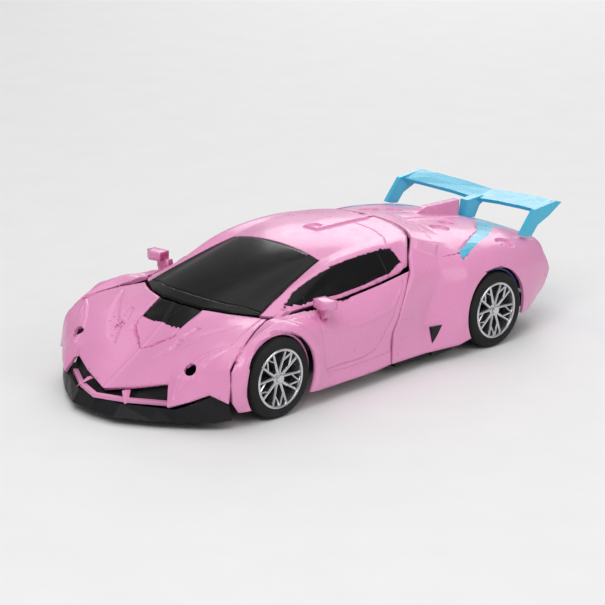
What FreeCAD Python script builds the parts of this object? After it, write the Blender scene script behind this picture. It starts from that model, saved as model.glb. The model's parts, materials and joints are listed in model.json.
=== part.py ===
import FreeCAD, Part
import math
import os
import re

# A toy car that unfolds into a standing robot, modelled folded, as a car.
# X runs across the car (its left side is +X), the nose points to -Y, and +Z is up.
# The origin is on the ground, in the middle of the car.  All sizes are millimetres.

# ---------------------------------------------------------------- driving sizes

SIZES = {
    # the body's outside
    "body_length": 270,
    "body_width": 121,
    "roof_height": 61,
    "skin": 1.6,
    # axles and wheels
    "front_overhang": 60.5,
    "wheelbase": 145,
    "tyre_radius": 18.5,
    "tyre_width": 16,
    "rim_radius": 14,
    "axle_radius": 1.5,
    "running_gap": 0.05,
    "arch_gap": 0.9,
    "liner_wall": 0.9,
    # the main hinge, which lifts the torso out of the rear body
    "pivot_y": 52,
    "pivot_z": 50,
    "pivot_radius": 2.5,
    "hinge_x": 14,
    "hinge_thick": 3,
    # the torso frame
    "plate_inset": 31.5,
    "plate_thick": 3,
    "frame_inset": 25.5,
    "frame_thick": 2.5,
    "shoulder_pin": 2.2,
    "chest_front": 54,
    # the neck and the flap that carries the head
    "flip_setback": 3,
    "flip_z": 36.5,
    "flip_slope": 33,
    "flip_pin": 1.2,
    "head_width": 18,
    "head_height": 24,
    "neck_width": 13,
    "neck_thick": 2.8,
    # the arms
    "arm_size": 6.6,
    "arm_gap": 0.3,
    "arm_start": 15.5,
    "arm_inset": 17.5,
    "arm_setback": 24,
    "arm_pin": 1.5,
    # the gear train
    "gear_module": 0.8,
    "gear_teeth": 24,
    "pinion_teeth": 10,
    "gear_width": 5,
    # the floor
    "floor_z": 4.5,
    "floor_thick": 2,
    "floor_front": -18,
}

# places that follow from the sizes, each a formula
PLACES = {
    # half the width between the torso's plates, and between the side frames
    "plate_x": "body_width / 2 - plate_inset",
    "frame_x": "body_width / 2 - frame_inset",
    # the head flap's pin and the arm pins lie ahead of the front axle
    "flip_y": "front_overhang - body_length / 2 - flip_setback",
    "arm_pivot_x": "body_width / 2 - arm_inset",
    "arm_pivot_y": "front_overhang - body_length / 2 - arm_setback",
}

doc = FreeCAD.newDocument("RobotCar")
sheet = doc.addObject("Spreadsheet::Sheet", "Size")
places = doc.addObject("App::VarSet", "Place")


def fill_sheet():
    """Write one cell per driving size, with its name as the cell's alias."""
    for row, (name, number) in enumerate(SIZES.items(), start=1):
        sheet.set(f"A{row}", name)
        sheet.set(f"B{row}", str(number))
        sheet.setAlias(f"B{row}", name)
    doc.recompute()


def size(name):
    """Read one driving size from the sheet, or one place that follows from the sizes."""
    return float(sheet.get(name) if name in SIZES else getattr(places, name))


def bound(text):
    """Turn a formula in plain size names into one that reads the sheet."""
    return re.sub(r"[a-z][a-z_]+", lambda word: lookup(word.group()), str(text))


def lookup(word):
    if word in SIZES:
        return f"Size.{word}"
    return f"Place.{word}" if word in PLACES else word


def fill_places():
    """Bind each place to its formula."""
    for name, formula in PLACES.items():
        places.addProperty("App::PropertyFloat", name)
        places.setExpression(name, bound(formula))
    doc.recompute()


fill_sheet()
fill_places()

# places that follow from the sizes, as formulas and as numbers
FRONT_AXLE = "(front_overhang - body_length / 2)"
REAR_AXLE = "(front_overhang - body_length / 2 + wheelbase)"
HALF_LENGTH = size("body_length") / 2
FRONT_Y = size("front_overhang") - HALF_LENGTH
REAR_Y = FRONT_Y + size("wheelbase")
AXLE_Z = size("tyre_radius")
SKIN = size("skin")
SIDES = {"left": 1, "right": -1}

# ---------------------------------------------------------------- building blocks

parts = {}


def keep(name, shape_object):
    """Register an object as a finished sub-part."""
    shape_object.Label = name
    parts[name] = shape_object
    return shape_object


def bind(item, **formulas):
    """Bind properties to formulas; a double underscore stands for a dot."""
    for name, formula in formulas.items():
        item.setExpression(name.replace("__", "."), bound(formula))


def place(item, x, y, z):
    bind(item, Placement__Base__x=x, Placement__Base__y=y, Placement__Base__z=z)


def box(name, x, y, z, dx, dy, dz):
    """A block from its low corner and its three lengths."""
    item = doc.addObject("Part::Box", name)
    bind(item, Length=dx, Width=dy, Height=dz)
    place(item, x, y, z)
    return item


AXIS_TURNS = {
    "x": FreeCAD.Rotation(FreeCAD.Vector(0, 1, 0), 90),
    "y": FreeCAD.Rotation(FreeCAD.Vector(1, 0, 0), -90),
    "z": FreeCAD.Rotation(),
}


def rod(name, axis, x, y, z, radius, length):
    """A round bar that starts at a point and runs along +axis."""
    item = doc.addObject("Part::Cylinder", name)
    item.Placement = FreeCAD.Placement(FreeCAD.Vector(), AXIS_TURNS[axis])
    bind(item, Radius=radius, Height=length)
    place(item, x, y, z)
    return item


def fuse(name, *pieces):
    item = doc.addObject("Part::MultiFuse", name)
    item.Shapes = list(pieces)
    return item


def cut(name, base, *tools):
    item = doc.addObject("Part::Cut", name)
    item.Base = base
    item.Tool = tools[0] if len(tools) == 1 else fuse(name + "_tools", *tools)
    return item


def fixed(name, shape):
    """A feature whose shape is worked out from the sheet's numbers."""
    item = doc.addObject("Part::Feature", name)
    item.Shape = shape
    return item


def origin_plane(body, role):
    return next(plane for plane in body.Origin.OriginFeatures if plane.Role == role)


def sketch_on(body, name, role):
    sketch = body.newObject("Sketcher::SketchObject", name)
    sketch.AttachmentSupport = [(origin_plane(body, role), "")]
    sketch.MapMode = "FlatFace"
    return sketch


def draw_outline(sketch, corners):
    """Draw a closed outline whose corners are pairs of formulas."""
    from Sketcher import Constraint
    first = sketch.GeometryCount
    count = len(corners)
    rough = [FreeCAD.Vector(math.cos(turn), math.sin(turn), 0) * 10
             for turn in (2 * math.pi * index / count for index in range(count))]
    for index in range(count):
        line = Part.LineSegment(rough[index], rough[(index + 1) % count])
        sketch.addGeometry(line)
    for index, corner in enumerate(corners):
        here = first + index
        after = first + (index + 1) % count
        sketch.addConstraint(Constraint("Coincident", here, 2, after, 1))
        for kind, start, formula in zip(("DistanceX", "DistanceY"), rough[index], corner):
            number = sketch.addConstraint(Constraint(kind, -1, 1, here, 1, start))
            sketch.setExpression(f"Constraints[{number}]", bound(formula))


def slab(name, role, corners, length, offset=0):
    """Pad an outline from one of the origin planes, both ways or from an offset."""
    body = doc.addObject("PartDesign::Body", name)
    sketch = sketch_on(body, name + "_sketch", role)
    draw_outline(sketch, corners)
    pad = body.newObject("PartDesign::Pad", name + "_pad")
    pad.Profile = sketch
    bind(pad, Length=length)
    shift = {"XY_Plane": "z", "XZ_Plane": "y", "YZ_Plane": "x"}[role]
    bind(body, **{"Placement__Base__" + shift: offset})
    return body


def turned(name, corners, x, y, z):
    """Revolve an (across, out) outline about a line along X."""
    body = doc.addObject("PartDesign::Body", name)
    sketch = sketch_on(body, name + "_sketch", "XY_Plane")
    draw_outline(sketch, corners)
    turn = body.newObject("PartDesign::Revolution", name + "_turn")
    turn.Profile = sketch
    turn.ReferenceAxis = (sketch, ["H_Axis"])
    turn.Angle = 360
    place(body, x, y, z)
    return body


def mirrored(name, source):
    """The same piece on the other side of the car."""
    item = doc.addObject("Part::Mirroring", name)
    item.Source = source
    item.Normal = FreeCAD.Vector(1, 0, 0)
    return item


def both_sides(name, source):
    """A piece and its mirror image, joined as one sub-part."""
    return fuse(name, source, mirrored(name + "_mirror", source))


# ---------------------------------------------------------------- the body's skin

# The skin is styled at a reference size and stretched to the sheet's sizes.  The
# stretch along the car keeps the wheel arches on the axles.
STYLE_WIDTH = 121
STYLE_HEIGHT = 61
STYLE_STATIONS = (-135, -74.5, 70.5, 135)


def stretch_y(y):
    stations = (-HALF_LENGTH, FRONT_Y, REAR_Y, HALF_LENGTH)
    for low in range(3):
        start, end = STYLE_STATIONS[low], STYLE_STATIONS[low + 1]
        if y <= end or low == 2:
            share = (y - start) / (end - start)
            return stations[low] + share * (stations[low + 1] - stations[low])


def styled(x, y, z):
    """A styling point at the real size."""
    wide = size("body_width") / STYLE_WIDTH
    tall = size("roof_height") / STYLE_HEIGHT
    return FreeCAD.Vector(x * wide, stretch_y(y), z * tall)


def full_width(rows):
    """Mirror rows that run from the centre line outwards into full rows."""
    return [[(-x, y, z) for x, y, z in reversed(row[1:])] + list(row) for row in rows]


def grid_normals(grid):
    """The average normal at each point of a grid of points, facing out of the car."""
    rows, columns = len(grid), len(grid[0])
    normals = [[FreeCAD.Vector() for _ in range(columns)] for _ in range(rows)]
    for row in range(rows - 1):
        for column in range(columns - 1):
            cell = [(row, column), (row, column + 1), (row + 1, column + 1), (row + 1, column)]
            near, across, far, down = (grid[r][c] for r, c in cell)
            normal = (far - near).cross(down - across)
            normal.normalize()
            for r, c in cell:
                normals[r][c] += normal
    middle = FreeCAD.Vector(0, 0, size("roof_height") / 2)
    facing = sum(normal.dot(point - middle) for line, points in zip(normals, grid)
                 for normal, point in zip(line, points))
    for line in normals:
        for normal in line:
            normal.multiply(math.copysign(1, facing) / normal.Length)
    return normals


def triangle(a, b, c):
    return Part.Face(Part.makePolygon([a, b, c, a]))


def cell_faces(a, b, c, d):
    """Two flat triangles that fill a four-cornered cell, skipping empty ones."""
    found = []
    for corners in ((a, b, c), (a, c, d)):
        area = (corners[1] - corners[0]).cross(corners[2] - corners[0]).Length / 2
        if area > 1e-6:
            found.append(triangle(*corners))
    return found


def rim_of(count_rows, count_columns):
    """Grid places around the edge, in order."""
    top = [(0, column) for column in range(count_columns)]
    right = [(row, count_columns - 1) for row in range(1, count_rows)]
    bottom = [(count_rows - 1, column) for column in range(count_columns - 2, -1, -1)]
    left = [(row, 0) for row in range(count_rows - 2, 0, -1)]
    return top + right + bottom + left


def skin_solid(rows, thickness):
    """A thin wall under a grid of styling points."""
    outer = [[styled(*point) for point in row] for row in rows]
    normals = grid_normals(outer)
    inner = [[point - normal * thickness for point, normal in zip(line, across)]
             for line, across in zip(outer, normals)]
    faces = []
    for row in range(len(outer) - 1):
        for column in range(len(outer[0]) - 1):
            for layer in (outer, inner):
                faces += cell_faces(layer[row][column], layer[row][column + 1],
                                    layer[row + 1][column + 1], layer[row + 1][column])
    edge = rim_of(len(outer), len(outer[0]))
    for (r, c), (next_r, next_c) in zip(edge, edge[1:] + edge[:1]):
        faces += cell_faces(outer[r][c], outer[next_r][next_c], inner[next_r][next_c],
                            inner[r][c])
    solid = Part.makeSolid(Part.makeShell(faces))
    if solid.Volume < 0:
        solid.reverse()
    return solid


def prism(corners, axis, low, high):
    """An outline pushed along X or Z; corners are (y, z) or (x, y) styling points."""
    if axis == "x":
        points = [styled(0, y, z) + FreeCAD.Vector(low, 0, 0) for y, z in corners]
        push = FreeCAD.Vector(high - low, 0, 0)
    else:
        points = [styled(x, y, 0) + FreeCAD.Vector(0, 0, low) for x, y in corners]
        push = FreeCAD.Vector(0, 0, high - low)
    return Part.Face(Part.makePolygon(points + points[:1])).extrude(push)


def mirror_x(shape):
    return shape.mirror(FreeCAD.Vector(), FreeCAD.Vector(1, 0, 0))


def arch_tool(y, radius):
    """A bar across the car that cuts both wheel arches."""
    reach = size("body_width")
    return Part.makeCylinder(radius, 2 * reach, FreeCAD.Vector(-reach, y, AXLE_Z),
                             FreeCAD.Vector(1, 0, 0))


ARCH_RADIUS = size("tyre_radius") + size("arch_gap") + size("liner_wall") + 0.6

# Each row runs across the car from the centre line to the side.
HOOD_ROWS = [
    [(0, -81, 41.7), (14, -80.2, 41.6), (26, -75.5, 41.3), (33, -71.5, 41), (37, -68.5, 40.6),
     (39.5, -66.8, 40.3), (41, -65.5, 40)],
    [(0, -90, 36), (14, -90, 36.8), (25, -88, 38), (32, -86, 38.8), (38, -83, 39.3),
     (43, -81, 39.3), (47, -79, 38.8)],
    [(0, -101, 28.2), (15, -102, 29.8), (27, -101, 32), (34, -99, 33.8), (41, -96.5, 35.2),
     (48, -93.5, 36), (53, -91.5, 35.5)],
    [(0, -111, 22), (15, -112, 24), (29, -109, 27), (34, -108, 27.5), (42, -106, 28.5),
     (50, -104, 29), (55.5, -102, 28.5)],
    [(0, -120, 16.8), (15, -119, 19), (30, -114, 22), (34, -114.5, 22.5), (43, -110.5, 22),
     (51, -107, 21.5), (57, -103, 21)],
    [(0, -127, 12.5), (16, -122.5, 16), (31, -116, 19.5), (35, -120.5, 10.5), (43, -115, 13.5),
     (50, -109, 17), (57.3, -104.5, 13.5)],
]
FLAP_OUTLINE = [(-14.5, -78), (14.5, -78), (12.5, -96), (0, -104), (-12.5, -96)]
COWL_LINE_Y = -91
HEADLIGHT = (38.5, -109.5, 26)


def flap_prism(grow):
    corners = [(x + math.copysign(grow, x) if x else 0, y - (2 * grow if y < -90 else 0))
               for x, y in FLAP_OUTLINE]
    return prism(corners, "z", 0, 80)


def arm_way(side):
    """The room that an arm needs to slide out past the cover's side edge."""
    half = size("arm_size") / 2 + 0.6
    tall = half + 2.8
    low, high = sorted((side * size("arm_pivot_x"), side * size("body_width")))
    corner = FreeCAD.Vector(low, size("arm_pivot_y") - half, AXLE_Z - tall)
    return Part.makeBox(high - low, 2 * half, 2 * tall, corner)


def hood_parts():
    """The front cover, and the flap with its dark rear insert."""
    hood = skin_solid(full_width(HOOD_ROWS), SKIN)
    cover = hood.cut(flap_prism(0.35))
    for side in SIDES.values():
        x, y, z = HEADLIGHT
        centre = styled(side * x, y, z)
        aim = FreeCAD.Vector(side * 0.35, -0.75, 0.55)
        hole = Part.makeCylinder(3, 16, centre - aim * 8, aim)
        cover = cover.cut(hole).cut(arm_way(side))
    flap = hood.common(flap_prism(0))
    rear = prism([(-20, COWL_LINE_Y), (20, COWL_LINE_Y), (20, -70), (-20, -70)], "z", 0, 80)
    keep("front_cover", fixed("FrontCover", cover))
    keep("hood_flap", fixed("HoodFlap", flap.cut(rear)))
    keep("cowl_insert", fixed("CowlInsert", flap.common(rear)))


SPLITTER_ROWS = [
    [(0, -131.5, 9.3), (14, -129.5, 9.3), (30, -121.5, 9.3), (37, -118, 9.2), (44, -113, 12.2),
     (50, -107.6, 16), (56, -102.8, 12)],
    [(0, -135, 4.2), (14, -133.5, 4), (30, -124.5, 3.8), (37, -119.5, 3.8), (45, -113.5, 3.8),
     (52, -107, 4), (56, -101.5, 5)],
]
SPLITTER_FLOOR = [(-55, -101), (-44, -112), (-30, -122), (-14, -130.5), (0, -132), (14, -130.5),
                  (30, -122), (44, -112), (55, -101), (50, -99), (-50, -99)]
GRILLE_ROWS = [
    [(0, -123.5, 11), (16, -119, 14.2), (30, -112.5, 17.8), (35, -111, 18.6)],
    [(0, -127, 9.2), (16, -124, 9.2), (31, -117, 9.2), (36, -115, 9.2)],
]
LOWER_BAR = [(-33, -117), (-16, -127.5), (0, -133), (16, -127.5), (33, -117), (31, -115.6),
             (15, -125.4), (0, -130.8), (-15, -125.4), (-31, -115.6)]


def nose_parts():
    """The dark splitter and grille panel, and the light bars in front of them."""
    lip = skin_solid(full_width(SPLITTER_ROWS), SKIN + 0.4)
    tray = prism(SPLITTER_FLOOR, "z", 4.3, 5.8)
    keep("front_splitter", fixed("FrontSplitter", lip.fuse(tray).removeSplitter()))
    panel = skin_solid(full_width(GRILLE_ROWS), 1.2).cut(parts["front_cover"].Shape)
    largest = max(panel.Solids, key=lambda solid: solid.Volume)
    keep("grille_panel", fixed("GrillePanel", largest))
    bar = prism(LOWER_BAR, "z", 9.6, 11.4)
    for side in SIDES.values():
        feet = [styled(side * 11, -125.6, 13.6), styled(side * 13.5, -124.8, 14),
                styled(side * 16.5, -129.2, 9.6), styled(side * 13.5, -130.4, 9.6)]
        strut = Part.Face(Part.makePolygon(feet[:3] + feet[:1])).extrude(
            FreeCAD.Vector(0, 2.2, 0))
        bar = bar.fuse(strut)
    for other in ("front_cover", "front_splitter", "grille_panel"):
        bar = bar.cut(parts[other].Shape)
    keep("grille_frame", fixed("GrilleFrame", bar))


ROOF_ROWS = [
    [(0, -80, 42.2), (13, -79.2, 42.2), (25, -74.5, 41.9), (32, -70.3, 41.6), (37.5, -66.5, 41.3),
     (41, -64, 41), (44, -60, 41.3)],
    [(0, -52, 51.8), (12, -51.5, 51.3), (23, -50.5, 49.8), (31.5, -49, 47.6), (37, -48, 47.2),
     (42, -47, 45.2), (45.3, -46, 42.3)],
    [(0, -20, 59), (12, -20, 58.5), (22, -19.5, 57.3), (29, -19, 55.8), (37.5, -21, 55.6),
     (43.5, -22, 49.5), (47, -22, 42.4)],
    [(0, 2, 60.8), (12, 2, 60.4), (22, 2, 59.6), (30, 2, 58.8), (39, 2, 57.6), (44, 1, 51.5),
     (47.3, 0, 44.3)],
    [(0, 22, 61), (12, 22, 60.6), (21, 22, 60), (29, 21.5, 59.2), (38.5, 20, 57.6),
     (43.6, 17.5, 52.6), (47.3, 14.8, 46.2)],
    [(0, 42, 60.2), (12, 42, 59.8), (20, 41, 59.3), (27, 38.5, 58.6), (33.5, 34.5, 57.7),
     (41.5, 26, 55.2), (46.9, 20.4, 49.4)],
]
WINDSHIELD_OUTLINE = [(-28.5, -20), (28.5, -20), (37, -64), (41, -90), (-41, -90), (-37, -64)]
SIDE_GLASS_OUTLINE = [(-55, 43), (-46, 47), (-36, 50.7), (-21, 54.6), (-4, 56.4), (10, 56.6),
                      (16, 56), (18.4, 50), (9, 46.8), (-8, 44.6), (-24, 43.4), (-44, 42.8)]
SPINE_NOTCH = [(-4.6, 37.5), (4.6, 37.5), (4.6, 60), (-4.6, 60)]


def cabin_parts():
    """The roof shell, with its windows cut out of the same skin."""
    shell = skin_solid(full_width(ROOF_ROWS), SKIN)
    shell = shell.cut(prism(SPINE_NOTCH, "z", 40, 80))
    front = prism(WINDSHIELD_OUTLINE, "z", 20, 80)
    sides = prism(SIDE_GLASS_OUTLINE, "x", styled(36, 0, 0).x, 80)
    sides = sides.fuse(mirror_x(sides))
    keep("windshield", fixed("Windshield", shell.common(front)))
    keep("side_windows", fixed("SideWindows", shell.common(sides)))
    keep("roof_shell", fixed("RoofShell", shell.cut(front).cut(sides)))


# Each row runs along the top of the rear body and down its side.
REAR_ROWS = [
    [(0, 43.8, 59.9), (12, 43.8, 59.5), (20.5, 42.8, 58.9), (28, 40.3, 58.1), (34.8, 36, 57.1),
     (44.5, 24.5, 52.5), (50.8, 19.3, 47.2), (54.6, 12, 39), (56.6, 6.5, 31), (57.2, 1, 22),
     (57.6, -0.2, 7.5)],
    [(0, 52, 59.2), (12, 52, 58.2), (21, 51, 57), (30, 49, 55.6), (38, 45, 53.8),
     (46, 41, 49.2), (51.5, 38, 44), (52.6, 34, 37), (52.8, 31, 30), (53.4, 27, 21),
     (56.6, 23, 7)],
    [(0, 60, 57.8), (12, 60, 55.6), (22, 60, 54.6), (32, 59, 53), (40, 57, 51),
     (47, 55, 48.6), (53.5, 53, 45.6), (57.5, 51, 40), (59.2, 50, 32), (59.8, 47, 22),
     (59.6, 44, 7)],
    [(0, 82, 53.6), (12, 82, 52.3), (23, 82, 51.8), (33, 81, 51), (41, 79, 50),
     (48, 77, 48.6), (54.5, 75, 45.6), (58.4, 74, 40), (60, 73, 32), (60.5, 73, 22),
     (60.3, 73, 12.5)],
    [(0, 101, 49.6), (11, 101, 49.4), (22, 101, 49), (31, 100.5, 48.6), (39, 100, 47.6),
     (46, 99.5, 45.8), (51.5, 99, 43), (55.5, 98.5, 37.5), (57.5, 98, 30), (57.8, 97, 21),
     (57, 96, 12.5)],
    [(0, 118, 44.6), (11, 118, 44.6), (21, 117.6, 44.3), (29, 117.2, 44), (36, 116.8, 43.6),
     (42, 116.5, 43), (46.5, 116, 41.5), (49.5, 117, 36), (51.5, 119, 28), (51, 116, 20),
     (49.5, 110, 12.5)],
]
STRIP_OUTLINE = [(19, 101), (35, 83), (44.5, 64), (47.8, 55.5), (52, 54.5), (48.5, 65),
                 (41, 85), (30, 101), (30, 119), (-30, 119), (-30, 101), (-41, 85), (-48.5, 65),
                 (-52, 54.5), (-47.8, 55.5), (-44.5, 64), (-35, 83), (-19, 101), (-12, 107),
                 (12, 107)]
DECK_OUTLINE = [(36, 30), (36, 36), (46.5, 39), (47.8, 55.5), (44.5, 64), (35, 83), (19, 101),
                (12, 107), (-12, 107), (-19, 101), (-35, 83), (-44.5, 64), (-47.8, 55.5),
                (-46.5, 39), (-36, 36), (-36, 30)]


def side_half(side):
    """Everything on one side of the car."""
    reach = 200
    low = 0 if side > 0 else -reach
    return Part.makeBox(reach, 4 * reach, reach, FreeCAD.Vector(low, -2 * reach, -reach / 2))


def rear_parts():
    """The rear deck and quarters, with the coloured strips set into them."""
    skin = skin_solid(full_width(REAR_ROWS), SKIN)
    skin = skin.cut(arch_tool(REAR_Y, ARCH_RADIUS))
    strips = prism(STRIP_OUTLINE, "z", 30, 80)
    deck = prism(DECK_OUTLINE, "z", 30, 80)
    rest = skin.cut(strips)
    fin = skin_fin().cut(rest).cut(strips)
    keep("wing_base", fixed("WingBase", skin.common(strips)))
    keep("rear_deck", fixed("RearDeck", rest.common(deck).fuse(fin)))
    outside = rest.cut(deck)
    for name, side in SIDES.items():
        quarter = outside.common(side_half(side))
        keep(f"rear_quarter_{name}", fixed("RearQuarter" + name, quarter))


FIN_OUTLINE = [(39.8, 60.2), (60, 58), (84, 56.6), (109, 56), (111.5, 50), (106.5, 47),
               (82, 52.5), (60, 56.5), (44, 58.2), (39.8, 58.2)]


def skin_fin():
    """The upright fin along the middle of the rear deck."""
    thick = 4
    return prism(FIN_OUTLINE, "x", -thick / 2, thick / 2)


TAIL_ROWS = [
    [(0, 119, 42.6), (20, 118.6, 42.3), (41, 117.4, 41)],
    [(0, 123, 34), (20, 122.5, 34), (46, 119.6, 33)],
    [(0, 123.5, 26), (20, 123, 26), (48, 120.4, 27)],
    [(0, 119, 15), (20, 118.5, 15), (47, 112.6, 15)],
]
WING_ROWS = [
    [(0, 121.5, 52.4), (16, 121, 53.6), (34, 118.5, 54.8), (44.6, 116, 55.6)],
    [(0, 128, 53.4), (16, 127.4, 54.8), (34, 125, 56.2), (44.6, 122.5, 56.8)],
    [(0, 134.5, 54.4), (16, 133.5, 56), (34, 131, 57.4), (44.6, 129, 57.8)],
]
END_PLATE = [(103, 46.8), (107.5, 52), (113, 58), (129, 59.4), (133.5, 58.2), (124, 53),
             (115.5, 49.8), (111, 45), (106.5, 45.6)]
WING_POST = [(111.5, 46.2), (113, 54.6), (124, 55.2), (130, 54), (122, 50.6), (118.5, 44.8)]


def tail_parts():
    """The wing with its end plates and post, the tail panel and the diffuser."""
    blade = skin_solid(full_width(WING_ROWS), 1.8)
    plate_x = styled(44, 0, 0).x
    plate = prism(END_PLATE, "x", plate_x, plate_x + 2.4)
    post = prism(WING_POST, "x", -2.5, 2.5)
    wing = blade.fuse([plate, mirror_x(plate), post]).removeSplitter()
    for other in ("wing_base", "rear_quarter_left", "rear_quarter_right", "rear_deck"):
        wing = wing.cut(parts[other].Shape)
    keep("rear_wing", fixed("RearWing", wing))
    keep("tail_panel", fixed("TailPanel", skin_solid(full_width(TAIL_ROWS), SKIN)))


# Each row runs down the side, from the top edge to the sill.
DOOR_ROWS = [
    [(54.2, -92.2, 35.2), (55.4, -98, 31), (56.6, -101.6, 27), (57.7, -102.6, 20),
     (57.6, -102, 13), (57.3, -98.5, 8)],
    [(51.7, -86.2, 37.1), (54.6, -90, 36), (58, -94, 31), (59.4, -97, 23), (59, -97, 15),
     (58.6, -96, 8)],
    [(48.3, -79.2, 38.9), (53, -79, 40), (58, -79, 39), (60.4, -79, 32), (60.5, -79, 20),
     (60.5, -79, 9)],
    [(45.4, -70.5, 40.5), (52, -69, 41), (58, -68, 39), (60.4, -67, 32), (60.5, -67, 20),
     (60.5, -67, 9)],
    [(45.4, -60.4, 41), (51.4, -57, 41), (57.4, -54, 37), (59.8, -52, 30), (60.2, -50, 20),
     (60, -50, 7.5)],
    [(49, -42, 41.8), (52.8, -41, 39.6), (56.4, -40, 35), (58, -40, 28), (58.6, -40, 18),
     (59, -40, 7)],
    [(50, -22, 42.6), (53.4, -21, 39.4), (56.6, -20, 34), (57.4, -20, 27), (57.4, -20, 18),
     (58.6, -20, 7)],
    [(50.2, 0, 44.6), (53.8, -2, 40.4), (56.8, -5, 34), (57, -8, 27), (56.9, -10, 18),
     (58.2, -11, 7)],
    [(50.2, 18.2, 47), (54.4, 11.2, 39), (56.4, 5.7, 31), (56.8, 0.2, 22), (56.8, -0.9, 16),
     (57.4, -1, 7.5)],
]
MIRROR_STALK = [(50.4, -42.5), (56.5, -44), (57, -41), (50.6, -39.5)]
MIRROR_HEAD = [(51.5, -46.5), (58, -48), (62, -45.5), (61.5, -41), (52.5, -40)]


def door_skin():
    """A left door and front wing in one moulding, with its mirror."""
    skin = skin_solid(DOOR_ROWS, SKIN)
    skin = skin.cut(arch_tool(FRONT_Y, ARCH_RADIUS))
    for gap in ((0, 0.4, 0), (0.4, 0.2, 0), (-0.4, 0.9, 0)):
        skin = skin.cut(parts["front_cover"].Shape.translated(FreeCAD.Vector(*gap)))
    low, mid, high = (styled(0, 0, z).z for z in (38.5, 44, 48))
    stalk = prism(MIRROR_STALK, "z", low, mid)
    head = prism(MIRROR_HEAD, "z", mid, high)
    return skin.fuse([stalk, head]).removeSplitter()


def door_parts():
    left = door_skin()
    keep("door_panel_left", fixed("DoorPanelLeft", left))
    keep("door_panel_right", fixed("DoorPanelRight", mirror_x(left)))


hood_parts()
nose_parts()
cabin_parts()
rear_parts()
tail_parts()
door_parts()


# ---------------------------------------------------------------- wheels

WHEEL_X = "(body_width / 2 - 0.5 - tyre_width)"
BORE = "(axle_radius + running_gap)"


def wheel_pair(name, y, bore):
    """A left tyre and rim; a rim is a barrel, a web, a hub and ten spokes."""
    tyre = turned(name + "Tyre", [
        ("0", "rim_radius"), ("0", "tyre_radius - 2"), ("1.5", "tyre_radius"),
        ("tyre_width - 1.5", "tyre_radius"), ("tyre_width", "tyre_radius - 2"),
        ("tyre_width", "rim_radius")], WHEEL_X, y, "tyre_radius")
    rim = turned(name + "Rim", [
        ("0", "rim_radius - 1.2"), ("0", "rim_radius"), ("tyre_width", "rim_radius"),
        ("tyre_width", "rim_radius - 1.2"), ("tyre_width - 6", "rim_radius - 1.2"),
        ("tyre_width - 6", "axle_radius + 1.9"), ("tyre_width - 1.5", "axle_radius + 1.9"),
        ("tyre_width - 1.5", bore), ("2", bore), ("2", "axle_radius + 1.9"),
        ("tyre_width - 8", "axle_radius + 1.9"), ("tyre_width - 8", "rim_radius - 1.2")],
        WHEEL_X, y, "tyre_radius")
    add_spokes(rim, name)
    return tyre, rim


def add_spokes(rim, name):
    """Ten spokes on the rim's web, as one padded spoke and a pattern about the axle."""
    sketch = sketch_on(rim, name + "_spoke_sketch", "YZ_Plane")
    bind(sketch, AttachmentOffset__Base__z="tyre_width - 6.5")
    draw_outline(sketch, [("-0.9", "axle_radius + 0.5"), ("0.9", "axle_radius + 0.5"),
                          ("0.7", "rim_radius - 0.5"), ("-0.7", "rim_radius - 0.5")])
    spoke = rim.newObject("PartDesign::Pad", name + "_spoke")
    spoke.Profile = sketch
    bind(spoke, Length="4.6")
    doc.recompute()
    pattern = rim.newObject("PartDesign::PolarPattern", name + "_spokes")
    pattern.Originals = [spoke]
    pattern.Axis = (sketch, ["N_Axis"])
    pattern.Angle = 360
    pattern.Occurrences = 10
    rim.Tip = pattern


def wheel_parts():
    tyre, rim = wheel_pair("Front", FRONT_AXLE, BORE)
    keep("front_tyre_left", tyre)
    keep("front_rim_left", rim)
    keep("front_tyre_right", mirrored("FrontTyreRight", tyre))
    keep("front_rim_right", mirrored("FrontRimRight", rim))
    tyre, rim = wheel_pair("Rear", REAR_AXLE, "axle_radius")
    keep("rear_tyres", both_sides("RearTyres", tyre))
    keep("rear_rims", both_sides("RearRims", rim))
    reach = "(body_width / 2 - 2.5)"
    keep("rear_axle", rod("RearAxle", "x", "-" + reach, REAR_AXLE, "tyre_radius",
                          "axle_radius", "2 * " + reach))


def toothed(name, teeth, bore, y):
    """A spur wheel with straight-sided teeth, centred on the car's middle plane."""
    pitch = f"(gear_module * {teeth} / 2)"
    gear = turned(name, [
        ("-gear_width / 2", bore), ("gear_width / 2", bore),
        ("gear_width / 2", pitch + " - 1.1 * gear_module"),
        ("-gear_width / 2", pitch + " - 1.1 * gear_module")], "0", y, "tyre_radius")
    sketch = sketch_on(gear, name + "_tooth_sketch", "YZ_Plane")
    bind(sketch, AttachmentOffset__Base__z="-gear_width / 2")
    root, tip = pitch + " - 1.3 * gear_module", pitch + " + 0.85 * gear_module"
    draw_outline(sketch, [(root, "-0.8 * gear_module"), (tip, "-0.3 * gear_module"),
                          (tip, "0.3 * gear_module"), (root, "0.8 * gear_module")])
    tooth = gear.newObject("PartDesign::Pad", name + "_tooth")
    tooth.Profile = sketch
    bind(tooth, Length="gear_width")
    doc.recompute()
    pattern = gear.newObject("PartDesign::PolarPattern", name + "_teeth")
    pattern.Originals = [tooth]
    pattern.Axis = (sketch, ["N_Axis"])
    pattern.Angle = 360
    bind(pattern, Occurrences=teeth)
    gear.Tip = pattern
    return gear


MOTOR_Y = REAR_AXLE + " + gear_module * (gear_teeth + pinion_teeth) / 2 + 0.2"


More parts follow.
